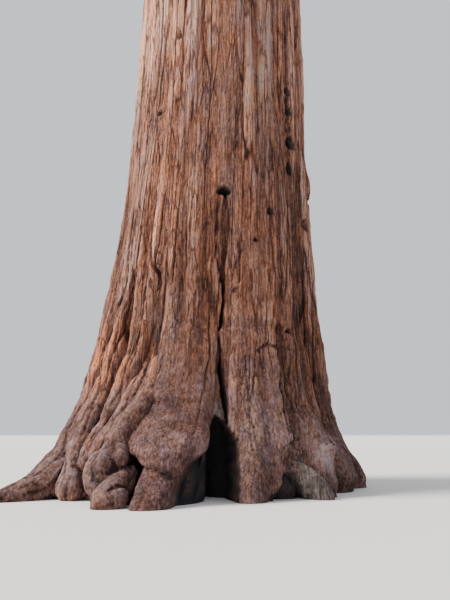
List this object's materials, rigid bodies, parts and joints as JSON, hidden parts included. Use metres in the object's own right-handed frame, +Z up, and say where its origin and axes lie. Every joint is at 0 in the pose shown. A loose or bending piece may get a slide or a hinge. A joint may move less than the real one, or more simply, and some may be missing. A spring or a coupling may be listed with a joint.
{
  "type": "giant sequoia tree",
  "caption": "Whole old giant sequoia with a flared, furrowed red trunk, a fire hollow at its foot, massive upswept boughs and rounded masses of foliage.",
  "frame": {"origin": "on the flat cut under the trunk, at ground level, near the middle of the trunk", "axes": "+Z up along the trunk, -Y towards the side shown in the picture, +X to the right in the picture"},
  "size_m": [14.2368, 13.6475, 40],
  "materials": {
    "bark": "thick fibrous red-brown bark in long ridges and furrows, weathered grey-pink on the ridges",
    "limb_bark": "flaky red-brown limb bark with grey weathering",
    "scorched_wood": "charred black wood, matt and cracked",
    "twig_bark": "thin brown twig bark",
    "foliage": "blue-green scale leaves in cord-like sprays",
    "foliage_young": "lighter yellow-green growth at the tips of the sprays",
    "cone": "small egg-shaped woody cones"
  },
  "bodies": {
    "root": {"trunk": "bark", "foliage_01": "foliage", "foliage_02": "foliage", "foliage_03": "foliage", "foliage_04": "foliage", "foliage_05": "foliage", "foliage_06": "foliage", "foliage_07": "foliage", "foliage_08": "foliage", "foliage_09": "foliage", "foliage_10": "foliage", "foliage_11": "foliage", "foliage_12": "foliage", "foliage_13": "foliage", "foliage_14": "foliage", "foliage_15": "foliage", "foliage_16": "foliage", "foliage_17": "foliage", "foliage_18": "foliage", "foliage_19": "foliage", "foliage_20": "foliage", "foliage_21": "foliage", "foliage_22": "foliage", "foliage_23": "foliage", "foliage_24": "foliage", "foliage_25": "foliage", "bough_01": "limb_bark", "bough_02": "limb_bark", "bough_03": "limb_bark", "bough_04": "limb_bark", "bough_05": "limb_bark", "bough_06": "limb_bark", "bough_07": "limb_bark", "bough_08": "limb_bark", "bough_09": "limb_bark", "bough_10": "limb_bark", "bough_11": "limb_bark", "bough_12": "limb_bark", "bough_13": "limb_bark", "bough_14": "limb_bark", "bough_15": "limb_bark", "bough_16": "limb_bark", "bough_17": "limb_bark", "bough_18": "limb_bark", "bough_19": "limb_bark", "bough_20": "limb_bark", "bough_21": "limb_bark", "bough_22": "limb_bark"}
  },
  "joints": []
}
